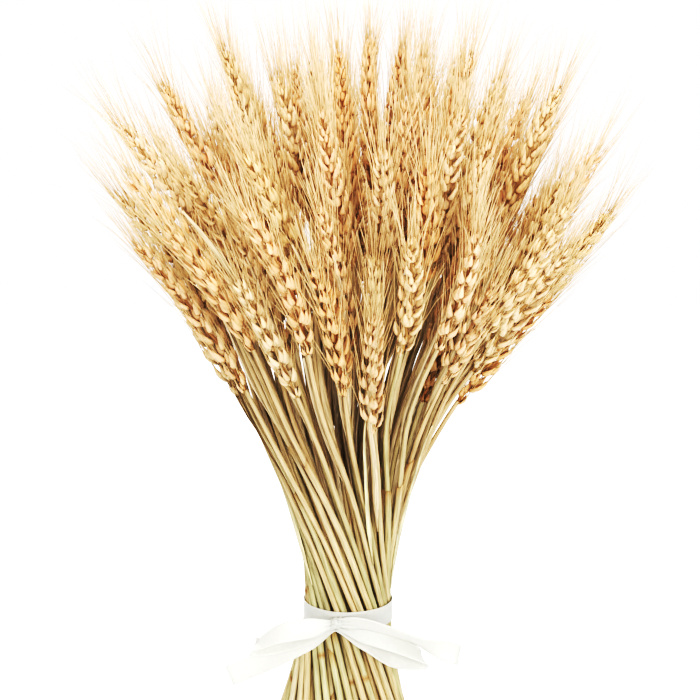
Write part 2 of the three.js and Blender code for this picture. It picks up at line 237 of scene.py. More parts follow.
# The strips of the bow: points of the route from the knot, the directions across the ribbon
# there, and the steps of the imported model's strip
BOW = {
    "left_loop": (
        [(0, -1, 0), (-14, -4, -1.5), (-28, -5, -4), (-41, -1, -12),
         (-28, 1.5, -10.5), (-14, 0.5, -6), (0, 0, -1.5)],
        [(0, 0.2, 1), (0.1, 0.4, 1), (0.3, 0.5, 0.9), (0.5, 0.6, 0.6),
         (0.1, 0.4, 1), (0, 0.3, 1), (0, 0.2, 1)],
        14,
    ),
    "right_loop": (
        [(0, -1, -1), (14, -4, -4), (29, -5, -9), (43, -1, -18),
         (29, 1, -18), (15, -0.5, -9), (0, 0, -2)],
        [(0, 0.2, 1), (-0.1, 0.4, 1), (-0.3, 0.5, 0.9), (-0.5, 0.6, 0.6),
         (-0.2, 0.4, 1), (-0.2, 0.3, 1), (0, 0.2, 1)],
        14,
    ),
    "left_tail": (
        [(0, 1, -1), (-12, 2, -8), (-30, 4, -18), (-54, 7, -29)],
        [(0, 0.1, 1), (0.2, 0.1, 1), (0.4, 0.1, 0.9), (0.2, 0.1, 1)],
        7,
    ),
    "right_tail": (
        [(0, -2, 1), (12, -6, 1.5), (34, -6, -5.5), (61, 2, -17)],
        [(0, 0.2, 1), (0, -0.6, 0.8), (0.2, -0.8, 0.5), (0.55, 0.5, 0.6)],
        7,
    ),
}

# Colours, as sRGB
STEM_TINTS = ["#c8b894", "#bdaa86", "#d1c3a2", "#b4ad88", "#c1aa86", "#c9b994", "#afa682", "#c4b08c"]
STALK_SHADES = (0.86, 1.04)  # of the stalks, as shares of their sheaths' tints
# Painted shade: the browner, darker tint of the stems deep inside the sheaf
INNER_STEM_SHADE_COLOUR = "#c2ad8e"
INNER_STEM_SHADE = 0.2  # how far the middle stems are tinted to that painted shade
INNER_STEM_SHADE_DEPTHS = (0.1, 0.8)  # shares of the way in, between which that painted shade sets in
# Painted shade: the tan that the stems are tinted towards the ear, where the head shades them
UPPER_STEM_SHADE_COLOUR = "#c3a987"
UPPER_STEM_SHADES = (0.1, 0.9)  # how far the stems are tinted tan towards the ear, as painted shade under the head; it differs from stem to stem
UPPER_STEM_SHADE_HEIGHTS = (0, 115)  # above the tie, between which that painted shade sets in
SHEATH_EDGE = "#9a6a3c"
EDGE_DEPTH = 0.55  # how strongly a sheath's mouth is tinted so
EDGE_REACH = 4
JOINT_BROWN = "#8a5c34"
JOINT_DEPTH = 0.8
LEAF_SHADES = (0.75, 1.05)
EAR_TINTS = ["#eed2b1", "#e9c09c", "#eccda9", "#e8bd98", "#e6c8a0", "#e5b890", "#edc7a5", "#e4c8a3"]
HUSK_SHADES = (0.85, 1.1)  # as shares of their ear's tint
KEEL_PAINTED_LIGHT = 0.12  # painted light: how much lighter a husk's outer side is, and darker its inner side
RACHIS_PAINTED_SHADE = np.array([0.46, 0.38, 0.27])  # painted shade: its tint as a share of the husks', darker where it lies deep between the spikelets
EAR_ORANGE = "#d5a57b"
ORANGE_EARS = 0.7  # of the ears with an orange patch
ORANGE_DEPTH = 0.32
ORANGE_PLACES = (0.3, 1.1)  # where it is, as a share of the ear's length
ORANGE_SPREAD = 0.22
STRAY_ORANGE = 0.5  # how orange a single husk can be
STRAY_RARITY = 5  # how few of them are orange, as a power
# Painted shade: the dark tint at a husk's root, where the husks overlap
HUSK_ROOT_SHADE = "#76624b"
ROOT_SHADE_DEPTH = 0.75
ROOT_SHADE_REACH = 0.28  # share of the husk's length over which that painted shade fades
HUSK_BROWN = "#9c6d4a"
BROWN_SHARE = 0.06  # of the husks with a brown point
POINT_DEPTH = 0.8
POINT_REACH = (0.45, 0.95)
INNER_SHADE = np.array([0.6, 0.56, 0.5])  # painted shade: tint of the inner ears at the neck, as a share
SHADE_REACH = 0.7  # share of their length over which that painted shade fades
LOW_SHADE = np.array([0.75, 0.765, 0.73])  # painted shade: tint of the lowest part of the head, as a share
HEAD_SHADE_HEIGHTS = (100, 225)  # above the tie, between which the head's painted shade fades
AWN_TINT = "#eac9a3"
AWN_SHADES = (0.8, 1.08)
PATCH_TAN = "#bca07c"
SATIN_WHITE = "#cbccc2"

# How fast the grain changes along the fibres, and how far apart the parts take theirs
STEM_GRAIN = 0.04
HUSK_GRAIN = 0.08
AWN_GRAIN = 0.1
GRAIN_SPREAD = 50
HUSK_GRAIN_SPREAD = 60
STALK_GRAIN_STEP = 9  # from a sheath's grain to its stalk's

# The floor and the light, in metres and watts
FLOOR_DROP = 0.0005  # below the cut ends
FLOOR_GLOW = (0.25, 0.85)  # as it lights the sheaf, and as it is seen
WHITE = (1, 1, 1, 1)
ROOM_LIGHT = 0.76
LAMP_COLOUR = (1, 0.98, 0.95)
LAMPS = {  # place, size and power
    "key": ((0.25, -1.2, 0.42), 0.6, 11.5),
    "top": ((-0.05, -0.3, 1.3), 0.7, 12),
    "back": ((-0.4, 1.15, 0.45), 0.6, 8),
}
# The tone: points on the curve from the scene's light to the picture's
TONE = [(0.06, 0.032), (0.13, 0.104), (0.235, 0.33), (0.33, 0.525), (0.44, 0.685), (0.6, 0.82)]

# The camera
AIM = Vector((1, 0, 239))
CAMERA_DISTANCE = 1000
CAMERA_ELEVATION = 8
HALF_VIEW = 0.175  # half the view's width, for each mm of distance


def between(ends, share):
    low, high = ends
    return low + (high - low) * share


def mixed(first, second, share):
    return first * (1 - share) + second * share


def smoothstep(x, low, high):
    t = np.clip((x - low) / (high - low), 0, 1)
    return t * t * (3 - 2 * t)


def unit(v):
    return v / np.linalg.norm(v, axis=-1, keepdims=True)


def dot(a, b):
    return np.sum(a * b, axis=-1, keepdims=True)


def linear(colour):
    """An sRGB hex colour as linear red, green and blue."""
    srgb = np.array([int(colour[i:i + 2], 16) for i in (1, 3, 5)]) / 255
    return np.where(srgb <= 0.04045, srgb / 12.92, ((srgb + 0.055) / 1.055) ** 2.4)


def any_of(tints, rng):
    """One of some tints, drawn only if there is a choice."""
    return linear(tints[rng.integers(len(tints)) if len(tints) > 1 else 0])


# Evenly scattered shares from 0 to 1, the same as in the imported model
SCATTER = {
    "tip": (0, 0.6180339887),
    "length": (0.31, 0.7548776662),
    "sway": (0.17, 0.5698402910),
    "roll": (0.43, 0.8191725134),
    "wave": (0.57, 0.3819660113),
}


def scatter(kind, number):
    start, step = SCATTER[kind]
    return (start + number * step) % 1.0


@dataclass
class Stalk:
    number: int
    node: str
    pressed: np.ndarray  # its place at the tie
    even: np.ndarray  # its place once its pair has opened
    across: np.ndarray
    sway: np.ndarray
    roll: float
    nod: float
    wave: float  # where along its slow wave it starts, in radians
    tip_height: float = 0
    neck_height: float = 0

    @property
    def inner(self):
        return np.linalg.norm(self.pressed) < INNER_RADIUS


def circle(sides):
    """The angles of points round a circle."""
    return np.arange(sides) * 2 * math.pi / sides


def around(radius, angle):
    return np.array([math.cos(angle), math.sin(angle)]) * radius


def lay_out_stalks():
    """Where each stem passes through the tie, and how tall and long its ear is."""
    stalks = []
    for ring in range(RINGS + 1):
        count = max(1, 6 * ring)
        radius = ring * STEM_PITCH
        for i in range(count):
            number = len(stalks)
            mate = 1 if i % 2 else -1
            pair_angle = 2 * math.pi * (i + 0.5 * (ring % 2) - mate / 2) / count
            pressing = mate * math.asin(PAIR_SPACING / 2 / radius) if ring else 0
            sway_angle = 2 * math.pi * scatter("sway", number)
            stalk = Stalk(
                number=number,
                node=f"stalks_ring{ring}_{i // 2 + 1:02d}" if ring else "stalk_middle",
                pressed=around(radius, pair_angle + pressing),
                even=around(radius, pair_angle + mate * math.pi / count),
                across=np.append(around(1, pair_angle), 0),
                sway=around(SWAY if ring else 0, sway_angle),
                roll=math.pi * scatter("roll", number),
                nod=NOD * (1 - scatter("tip", number)) if ring == RINGS else 0,
                wave=2 * math.pi * scatter("wave", number),
            )
            fall = HEAD_SLOPE * axis_point(stalk, HEAD_HEIGHT)[0]
            stalk.tip_height = between(TIP_RANGES[ring], scatter("tip", number)) - fall
            ear_length = between(EAR_LENGTHS, scatter("length", number))
            stalk.neck_height = height_below(stalk, stalk.tip_height, ear_length)
            stalks.append(stalk)
    return stalks


def axis_point(stalk, height):
    """The middle of a stalk at heights above the tie. Up to the tie it is straight."""
    height = np.asarray(height, float)
    above = np.maximum(height, 0)
    bend = (above / HEAD_HEIGHT) ** 2
    flare = (1 + FLARE * above ** 2 / (above + FLARE_START)) * (1 + stalk.nod * bend)
    twist = TWIST * (height - WAIST_HEIGHT)
    lean = HEAD_LEAN * smoothstep(height, *LEAN_HEIGHTS) + FOOT_LEAN * np.minimum(height, 0)
    place = mixed(stalk.pressed, stalk.even, smoothstep(above, 0, PAIR_OPENING)[..., None])
    turn = 2 * math.pi * above / WAVE_LENGTH
    wander = WAVE * smoothstep(above, *WAVE_HEIGHTS)
    x = flare * (place[..., 0] + twist * place[..., 1]) + lean + bend * stalk.sway[0]
    y = flare * (place[..., 1] - twist * place[..., 0]) + bend * stalk.sway[1]
    x = x + wander * np.sin(turn + stalk.wave)
    y = y + wander * np.cos(turn * WAVE_RATE + 2 * stalk.wave)
    return np.stack([x, y, TIE_HEIGHT + height], axis=-1)


def height_below(stalk, height, length):
    """The height at which a stalk is a given length short of another height."""
    left = length
    while left > 0:
        left -= np.linalg.norm(axis_point(stalk, height) - axis_point(stalk, height - 1))
        height -= 1
    return height


# Points on a stalk, each with its direction and the two directions across it
Axis = make_dataclass("Axis", ["point", "along", "side", "front"])


def axis_at(stalk, heights, roll=0.0):
    heights = np.asarray(heights, float)
    along = unit(axis_point(stalk, heights + 1) - axis_point(stalk, heights - 1))
    side = unit(stalk.across - along * dot(stalk.across, along))
    front = np.cross(along, side)
    c, s = math.cos(roll), math.sin(roll)
    return Axis(axis_point(stalk, heights), along, side * c + front * s, front * c - side * s)


class Surface:
    """Collects the parts of one piece, with their tints, their grain and their material.
    The grain is a place in the material: its z runs along the fibres, slowly."""

    def __init__(self):
        self.points, self.tints, self.grains = [], [], []
        self.faces, self.materials = [], []
        self.count = 0

    def add(self, points, faces, tints, grains, material):
        for group in faces:
            self.faces.append(group + self.count)
            self.materials.append(np.full(len(group), material))
        self.points.append(points.reshape(-1, 3))
        self.tints.append(np.broadcast_to(tints, points.shape).reshape(-1, 3))
        self.grains.append(grains.reshape(-1, 3))
        self.count += points.size // 3

    def to_object(self, name, materials):
        points = (np.concatenate(self.points) - CENTRE) * MM
        sizes = np.concatenate([np.full(len(f), f.shape[1]) for f in self.faces])
        corners = np.concatenate([f.ravel() for f in self.faces])
        mesh = bpy.data.meshes.new(name)
        mesh.vertices.add(len(points))
        mesh.vertices.foreach_set("co", points.ravel())
        mesh.loops.add(len(corners))
        mesh.loops.foreach_set("vertex_index", corners)
        mesh.polygons.add(len(sizes))
        mesh.polygons.foreach_set("loop_start", np.cumsum(sizes) - sizes)
        mesh.polygons.foreach_set("material_index", np.concatenate(self.materials))
        mesh.update(calc_edges=True)
        mesh.shade_smooth()
        tints = np.concatenate(self.tints)
        rgba = np.hstack([tints, np.ones((len(tints), 1))])
        mesh.attributes.new("tint", "FLOAT_COLOR", "POINT").data.foreach_set("color", rgba.ravel())
        grain = mesh.attributes.new("grain", "FLOAT_VECTOR", "POINT")
        grain.data.foreach_set("vector", np.concatenate(self.grains).ravel())
        for material in materials:
            mesh.materials.append(material)
        piece = bpy.data.objects.new(name, mesh)
        bpy.context.scene.collection.objects.link(piece)
        return piece


STRAW, HUSK, AWN = range(3)  # the materials of a stalk
SATIN = 0  # the material of the ribbon


def ring_directions(axis, sides):
    """Directions from an axis to the points round it."""
    c, s = np.cos(circle(sides))[:, None], np.sin(circle(sides))[:, None]
    return axis.side[..., None, :] * c + axis.front[..., None, :] * s


def tube_faces(rings, sides):
    """The faces round a tube, and the two that close its ends."""
    row = np.arange(sides)
    start = np.arange(rings - 1)[:, None] * sides
    here = (start + row).ravel()
    beside = (start + (row + 1) % sides).ravel()
    walls = np.stack([here, beside, beside + sides, here + sides], axis=-1)
    foot = row[::-1][None]
    end = ((rings - 1) * sides + row)[None]
    return [walls, foot, end]


def stem_grain(heights, sides, radius, offset):
    """Straight fibres: the same place round the stem for all its length."""
    grain = np.empty((len(heights), sides, 3))
    grain[..., 0] = np.cos(circle(sides)) * radius
    grain[..., 1] = np.sin(circle(sides)) * radius
    grain[..., 2] = np.asarray(heights)[:, None] * STEM_GRAIN
    return grain + offset


def add_tube(surface, stalk, heights, radii, tints, offset, tear=None):
    """A length of a stem. Its points are moved along it by their tear, and cut level at the foot."""
    axis = axis_at(stalk, heights)
    radii = np.asarray(radii)[:, None, None]
    points = axis.point[:, None] + ring_directions(axis, STEM_SIDES) * radii
    if tear is not None:
        points += axis.along[:, None] * tear[..., None]
        cut = heights <= -TIE_HEIGHT
        level = points[cut][..., 2:] / axis.along[cut][:, None, 2:]
        points[cut] -= axis.along[cut][:, None] * level
    grain = stem_grain(heights, STEM_SIDES, SHEATH_RADIUS, offset)
    surface.add(points, tube_faces(len(heights), STEM_SIDES), tints[:, None], grain, STRAW)


def joint_share(heights, joint):
    """1 at the middle of a stem's joint, and 0 past its ends."""
    return np.clip(1 - np.abs(heights - joint) / JOINT_HALF, 0, 1)


def sheath_stations(mouth, joint):
    """Heights and radii of a sheath, out of the hole in its cut end and up into its mouth."""
    foot = -TIE_HEIGHT
    count = max(2, round((mouth - foot) / STEM_STEP))
    walls = np.linspace(foot, mouth, count)
    swelling = joint + JOINT_HALF * np.linspace(-1, 1, JOINT_STATIONS)
    clear = (swelling > foot + JOINT_MARGIN) & (swelling < mouth - JOINT_MARGIN)
    walls = np.sort(np.append(walls, swelling[clear]))
    radii = SHEATH_RADIUS + JOINT_SWELL * np.sqrt(joint_share(walls, joint))
    heights = np.concatenate([[foot + HOLLOW_DEPTH, foot], walls, [mouth, mouth - SHEATH_DEPTH]])
    inside = [STALK_RADII[0] + SHEATH_FIT, STALK_RADII[0] - SHEATH_FIT]
    return heights, np.concatenate([[HOLLOW_RADIUS, HOLLOW_RADIUS], radii, inside])


def straw_tint(stalk, rng):
    """The tint of one stem. Those inside the sheaf are tinted browner and darker, as painted shade."""
    depth = 1 - np.linalg.norm(stalk.pressed) / (RINGS * STEM_PITCH)
    brown = INNER_STEM_SHADE * smoothstep(depth, *INNER_STEM_SHADE_DEPTHS)
    return mixed(any_of(STEM_TINTS, rng), linear(INNER_STEM_SHADE_COLOUR), brown)


def shaded_towards_ear(tint, heights, upper_shade):
    """A stem's tint at heights: it is tinted from straw to tan towards the ear, as painted shade under
    the head.
    """
    tan = (upper_shade * smoothstep(np.asarray(heights), *UPPER_STEM_SHADE_HEIGHTS))[:, None]
    return mixed(tint, linear(UPPER_STEM_SHADE_COLOUR), tan)


def mouth_tear(heights, mouth, rng):
    """How far the points of a sheath are moved up, so that its mouth is slanted and torn."""
    rim = MOUTH_SLANT * np.cos(circle(STEM_SIDES) - rng.uniform(0, 2 * math.pi))
    rim = rim + rng.uniform(-MOUTH_TEAR, MOUTH_TEAR, STEM_SIDES)
    return np.outer(smoothstep(heights, mouth - STEM_STEP, mouth), rim)


def add_stem(surface, stalk, rng):
    """The leaf sheath from the cut end up to its torn mouth, and the bare stalk above it."""
    tint = straw_tint(stalk, rng)
    upper_shade = rng.uniform(*UPPER_STEM_SHADES)
    offset = rng.uniform(-GRAIN_SPREAD, GRAIN_SPREAD, 3)
    mouth = between(SHEATH_MOUTHS, rng.random())
    joint = between(JOINT_HEIGHTS, rng.random())
    heights, radii = sheath_stations(mouth, joint)
    tear = mouth_tear(heights, mouth, rng)
    edge = smoothstep(heights, mouth - EDGE_REACH, mouth)[:, None] * EDGE_DEPTH
    brown = joint_share(heights, joint)[:, None] * JOINT_DEPTH
    tints = mixed(shaded_towards_ear(tint, heights, upper_shade), linear(SHEATH_EDGE), edge)
    tints = mixed(tints, linear(JOINT_BROWN), brown)
    add_tube(surface, stalk, heights, radii, tints, offset, tear)
    start = mouth - SHEATH_DEPTH - STALK_LAP
    count = round((stalk.neck_height - start) / STEM_STEP)
    heights = np.linspace(start, stalk.neck_height + STALK_LAP, count)
    radii = between(STALK_RADII, np.clip(heights / stalk.neck_height, 0, 1))
    tints = shaded_towards_ear(tint * rng.uniform(*STALK_SHADES), heights, upper_shade)
    add_tube(surface, stalk, heights, radii, tints, offset + STALK_GRAIN_STEP)


def leaf_radii(share):
    """How widely a leaf is rolled at shares of its length: narrow at its root and its tip."""
    root = between((LEAF_ROOT, 1), smoothstep(share, 0, LEAF_ROOT_REACH))
    return LEAF_RADIUS * np.sqrt(np.clip(LEAF_POINT - share, 0, 1)) * root


def add_leaf(surface, stalk, leaf, rng):
    """A dry leaf, rolled lengthwise, that runs up beside its stem."""
    start = between(leaf.starts, rng.random())
    side = rng.uniform(0, 2 * math.pi)
    if not stalk.inner:
        side = LEAF_SWING * (side - math.pi) + leaf.side
    length = between(LEAF_LENGTHS, rng.random())
    heights = np.linspace(start, start + length, LEAF_STEPS)
    share = np.linspace(0, 1, LEAF_STEPS)
    axis = axis_at(stalk, heights, side)
    turn = rng.uniform(-LEAF_TURN, LEAF_TURN) * share
    out = axis.side * np.cos(turn)[:, None] + axis.front * np.sin(turn)[:, None]
    across = np.cross(axis.along, out)
    radius = leaf_radii(share)[:, None]
    away = STALK_RADII[0] + leaf.stand + LEAF_STRAY * share ** 2 * rng.uniform(0, 1)
    angle = np.linspace(-1, 1, LEAF_STRANDS) * leaf.roll
    lift = radius * (np.cos(angle) - np.cos(angle[0])) + away[:, None]
    wide = radius * np.sin(angle)
    middle = axis.point[:, None] + across[:, None] * wide[..., None] + out[:, None] * lift[..., None]
    if leaf.turns:
        middle = spun(middle, between(leaf.turns, rng.random()) * share)
    tint = any_of(leaf.tints, rng) * rng.uniform(*LEAF_SHADES)
    fibres = np.broadcast_to(heights[:, None] * STEM_GRAIN, wide.shape)
    grain = np.stack([wide, lift, fibres], axis=-1)
    add_skins(surface, middle, out[:, None], LEAF_THICKNESS, tint, grain, STRAW)


def spun(points, turns):
    """Rows of points turned round the sheaf's axis, each row by its own angle."""
    c, s = np.cos(turns)[:, None], np.sin(turns)[:, None]
    x, y, z = np.moveaxis(points, -1, 0)
    return np.stack([x * c - y * s, x * s + y * c, z], axis=-1)


def add_skins(surface, middle, out, thickness, tints, grain, material, closed=False):
    """A thin sheet round the rows of points in its middle, with both its skins."""
    skin = out * np.asarray(thickness)[..., None] / 2
    points = np.concatenate([middle - skin, (middle + skin)[:, ::-1]], axis=1)
    grain = np.concatenate([grain, grain[:, ::-1]], axis=1)
    rings, strands = middle.shape[:2]
    surface.add(points, strip_faces(rings, strands, closed), tints, grain, material)


def strip_faces(rings, strands, closed=False):
    """The faces of a thin strip with two skins. One that runs round to its start has no ends."""
    sides = 2 * strands
    if closed:
        return [tube_faces(rings + 1, sides)[0] % (rings * sides)]
    walls = tube_faces(rings, sides)[0]
    strand = np.arange(strands - 1)
    foot = np.stack([strand, sides - 1 - strand, sides - 2 - strand, strand + 1], axis=-1)
    end = foot[:, ::-1] + (rings - 1) * sides
    return [walls, foot, end]


def ear_size(share):
    """How big a spikelet is at a share of the ear's length: small at the neck and at the tip."""
    below = np.maximum(0, 1 - share / NECK_REACH)
    return 1 - NECK_SLIMMING * below ** 2 - TIP_SLIMMING * share ** TIP_CURVE


def husk_length(size):
    """Share of its full length that a husk has. Small ones are slim."""
    return between((SLIM_LENGTH, 1), size)


def husk_template():
    """A husk of unit length, width and depth, as points (across, out, along) and its faces."""
    out = np.cos(circle(HUSK_SIDES))
    keel = np.where(out > 0, out, HUSK_BACK * out)
    ring = np.stack([np.sin(circle(HUSK_SIDES)), keel, out * 0], axis=-1)
    rings = [ring * width + [0, 0, share] for share, width in HUSK_PROFILE]
    points = np.concatenate([[(0, 0, 0)], *rings, [(0, 0, 1)]])
    last = len(points) - 1
    here = np.arange(HUSK_SIDES)
    beside = (here + 1) % HUSK_SIDES
    root = np.stack([np.zeros_like(here), 1 + here, 1 + beside], axis=-1)
    top = last - HUSK_SIDES
    point = np.stack([np.full_like(here, last), top + beside, top + here], axis=-1)
    wall = np.stack([here, HUSK_SIDES + here, HUSK_SIDES + beside, beside], axis=-1)
    walls = [wall + start for start in range(1, top, HUSK_SIDES)]
    return points, [root, point, np.concatenate(walls)]


HUSK_POINTS, HUSK_FACES = husk_template()


# All the husks of one ear, with an array for each of these
Husks = make_dataclass("Husks", ["root", "along", "out", "length", "half_width", "depth", "awn"])


def turned(first, second, degrees):
    """A direction turned from a first one towards a second one, across it."""
    angle = math.radians(degrees)
    return first * math.cos(angle) + second * math.sin(angle)


def spikelet_husks(axis, index, size, rng, opening):
    """The husks of one spikelet, each as a row of what Husks has."""
    rank = 1 if index % 2 else -1
    lean = SPIKELET_LEAN * opening * between((SMALL_LEAN, 1), size) + rng.normal(0, LEAN_SPREAD)
    out = axis.side[index] * rank
    root = axis.point[index] + out * RACHIS_ZIGZAG
    single = rank * (-1) ** (index // 2)  # side of those that have no mate
    kinds = [(GLUME, 1), (GLUME, -1), (LEMMA, 1), (LEMMA, -1), (FLORET, single), (PALEA, single)]
    rows = []
    for husk, hand in kinds:
        up = turned(axis.along[index], out, lean * husk.lean)
        away = turned(out, -axis.along[index], lean * husk.lean)
        front = axis.front[index] * hand
        along = turned(up, front, husk.fan * opening + rng.normal(0, FAN_SPREAD))
        facing = turned(away, front, husk.facing + rng.normal(0, FACING_SPREAD))
        place = root + (up * husk.lift + away * husk.out + front * husk.offset) * size
        scale = rng.uniform(*HUSK_SCALES)
        rows.append((place, along, facing, husk.length * scale * husk_length(size),
                     husk.half_width * scale * size, husk.depth * scale * size, husk.awn * scale))
    return rows


def crown_husks(axis, size, rng):
    """The husks that close the end of an ear."""
    point, along = axis.point[-1], axis.along[-1]
    rows = []
    for index, scale in enumerate(CROWN_SCALES):
        out = turned(axis.side[-1], axis.front[-1], CROWN_TURN + index * 360 / len(CROWN_SCALES))
        away = turned(along, out, CROWN.fan + rng.normal(0, LEAN_SPREAD))
        rows.append((point + out * CROWN.out, away, turned(out, -along, CROWN.fan),
                     CROWN.length * husk_length(size) * scale, CROWN.half_width * size,
                     CROWN.depth * size, CROWN.awn))
    return rows


def spikelet_heights(stalk):
    """Where the spikelets stand, closer together where they are smaller, as shares of the
    ear's length and as heights above the tie."""
    length = stalk.tip_height - stalk.neck_height
    count = round(length / SPIKELET_PITCH)
    room = np.cumsum(ear_size((np.arange(count) + 0.5) / count))
    shares = (room - room[0]) / (room[-1] - room[0])
    return shares, stalk.neck_height + shares * (length - CROWN_RISE)


def ear_husks(stalk, rng):
    shares, heights = spikelet_heights(stalk)
    axis = axis_at(stalk, heights, stalk.roll)
    opening = rng.uniform(*OPENINGS)
    rows = []
    for index, share in enumerate(shares[:-1]):
        rows += spikelet_husks(axis, index, ear_size(share), rng, opening)
    rows += crown_husks(axis, ear_size(1), rng)
    return Husks(*(np.array(column) for column in zip(*rows)))


def orange_patch(shares, rng):
    """How orange the husks at shares of the ear's length are: some ears have a patch."""
    middle = rng.uniform(*ORANGE_PLACES)
    depth = ORANGE_DEPTH * (rng.random() < ORANGE_EARS) * rng.random()
    return depth * np.exp(-((shares - middle) / ORANGE_SPREAD) ** 2)


def painted_head_shade(stalk, count):
    """How light each husk of an ear is, from the neck up. Painted shade: the head is darker low
    down, and the inner ears, deep in the head, are browner and darker below."""
    share = np.linspace(0, 1, count)[:, None, None]
    pale = smoothstep(between((stalk.neck_height, stalk.tip_height), share), *HEAD_SHADE_HEIGHTS)
    shade = between((LOW_SHADE, 1), pale)
    if stalk.inner:
        shade = shade * between((INNER_SHADE, 1), smoothstep(share, 0, SHADE_REACH))
    return shade


def husk_tints(stalk, count, tint, rng):
    """The tints of an ear's husks, with painted shade at the root, low in the head and on the inner
    side, and painted light on the outer side. Some have a brown point.
    """
    _, y, z = HUSK_POINTS.T
    patch = orange_patch(np.linspace(0, 1, count), rng)
    orange = np.clip(patch + STRAY_ORANGE * rng.random(count) ** STRAY_RARITY, 0, 1)[:, None, None]
    tints = mixed(tint, linear(EAR_ORANGE), orange) * rng.uniform(*HUSK_SHADES, (count, 1, 1))
    rooted = ROOT_SHADE_DEPTH * (1 - smoothstep(z, 0, ROOT_SHADE_REACH))
    tints = mixed(tints, linear(HUSK_ROOT_SHADE), rooted[:, None])
    browned = (rng.random((count, 1, 1)) < BROWN_SHARE) * POINT_DEPTH
    tints = mixed(tints, linear(HUSK_BROWN), browned * smoothstep(z, *POINT_REACH)[:, None])
    # Painted shade of the head, and painted light on each husk's outer side
    return np.clip(tints * painted_head_shade(stalk, count) * (1 + KEEL_PAINTED_LIGHT * y[:, None]), 0, 1)


def repeated(faces, count, points):
    """The faces of parts that are alike and have a number of points each."""
    offsets = np.arange(count)[:, None, None] * points
    return [(group + offsets).reshape(-1, group.shape[1]) for group in faces]


def add_husks(surface, stalk, husks, tint, rng):
    across = unit(np.cross(husks.out, husks.along))
    out = np.cross(husks.along, across)
    count = len(husks.root)
    x, y, z = HUSK_POINTS.T
    wide = x * husks.half_width[:, None]
    deep = y * husks.depth[:, None] + HUSK_BOW * np.sin(math.pi * z) * husks.length[:, None]
    long = z * husks.length[:, None]
    points = (husks.root[:, None] + across[:, None] * wide[..., None]
              + out[:, None] * deep[..., None] + husks.along[:, None] * long[..., None])
    tints = husk_tints(stalk, count, tint, rng)
    offset = rng.uniform(-HUSK_GRAIN_SPREAD, HUSK_GRAIN_SPREAD, (count, 1, 3))
    grain = np.stack([wide, deep, long * HUSK_GRAIN], axis=-1) + offset
    surface.add(points, repeated(HUSK_FACES, count, len(HUSK_POINTS)), tints, grain, HUSK)


def add_rachis(surface, stalk, tint, offset):
    """The ear's own axis, which steps from side to side between the spikelets."""
    count = round((stalk.tip_height - stalk.neck_height) / SPIKELET_PITCH) + 1
    heights = np.linspace(stalk.neck_height, stalk.tip_height, count)
    radii = np.linspace(RACHIS_RADIUS, RACHIS_RADIUS * RACHIS_TAPER, count)
    axis = axis_at(stalk, heights, stalk.roll)
    side = np.where(np.arange(count) % 2, 1, -1) * RACHIS_ZIGZAG * RACHIS_SWING
    middle = axis.point + axis.side * side[:, None]
    points = middle[:, None] + ring_directions(axis, RACHIS_SIDES) * radii[:, None, None]
    grain = stem_grain(heights, RACHIS_SIDES, RACHIS_RADIUS, offset)
    # Painted shade: the rachis is tinted darker than the husks
    surface.add(points, tube_faces(count, RACHIS_SIDES), tint * RACHIS_PAINTED_SHADE, grain, STRAW)


def fitted_lengths(root, direction, lengths):
    """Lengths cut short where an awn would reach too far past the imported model's box."""
    low, high = (np.array(corner) / MM + CENTRE for corner in cad_box)
    low, high = low - AWN_MARGIN, high + AWN_MARGIN
    tip = root + direction * lengths[:, None]
    room = np.where(tip > high, (high - root) / (tip - root), 1)
    room = np.where(tip < low, (low - root) / (tip - root), room)
    return lengths * np.clip(room.min(axis=1), AWN_STUB, 1)


def awn_directions(stalk, along, rng):
    """Where the awns of an ear point: partly on from their husks and partly alike, and up."""
    height = between((stalk.neck_height, stalk.tip_height), AWN_HEADING)
    heading = axis_at(stalk, [height]).along
    stray = rng.normal(0, AWN_STRAY, along.shape)
    return unit(mixed(along, heading, AWN_ALIGNMENT) + [0, 0, AWN_RISE] + stray)


def awn_faces():
    """The faces of an awn: its walls, its foot and its point."""
    rings = len(AWN_STATIONS)
    walls, foot, _ = tube_faces(rings, AWN_SIDES)
    here = np.arange(AWN_SIDES)
    top = (rings - 1) * AWN_SIDES
    tip = np.full_like(here, top + AWN_SIDES)
    point = np.stack([top + here, top + (here + 1) % AWN_SIDES, tip], axis=-1)
    return [walls, foot, point]


def add_awns(surface, stalk, husks, rng):
    awned = rng.random(len(husks.root)) < AWN_SHARE
    root = (husks.root + husks.along * husks.length[:, None] * AWN_ROOT)[awned]
    count = len(root)
    direction = awn_directions(stalk, husks.along[awned], rng)
    lengths = between(AWN_LENGTHS, rng.random(count)) * husks.awn[awned]
    lengths = fitted_lengths(root, direction, lengths)
    across = unit(np.cross(husks.out[awned], direction))
    out = np.cross(direction, across)
    bend = lengths * rng.normal(*AWN_BENDS, count)
    stations = np.array(AWN_STATIONS + (1,))
    middle = (root[:, None] + direction[:, None] * (stations * lengths[:, None])[..., None]
              + out[:, None] * (stations ** 2 * bend[:, None])[..., None])
    ring = ring_directions(Axis(root, direction, across, out), AWN_SIDES)
    walls = middle[:, :-1, None] + ring[:, None] * np.array(AWN_RADII)[:, None, None]
    points = np.concatenate([walls.reshape(count, -1, 3), middle[:, -1:]], axis=1)
    tints = linear(AWN_TINT) * rng.uniform(*AWN_SHADES, (count, 1, 1))
    # Painted shade of the head, the same as on the husks
    tints = np.clip(tints * painted_head_shade(stalk, len(awned))[awned], 0, 1)
    faces = repeated(awn_faces(), count, points.shape[1])
    surface.add(points, faces, tints, points * [1, 1, AWN_GRAIN], AWN)


def add_ear(surface, stalk, rng):
    tint = any_of(EAR_TINTS, rng)
    husks = ear_husks(stalk, rng)
    add_rachis(surface, stalk, tint, rng.uniform(-GRAIN_SPREAD, GRAIN_SPREAD, 3))
    add_husks(surface, stalk, husks, tint, rng)
    add_awns(surface, stalk, husks, rng)


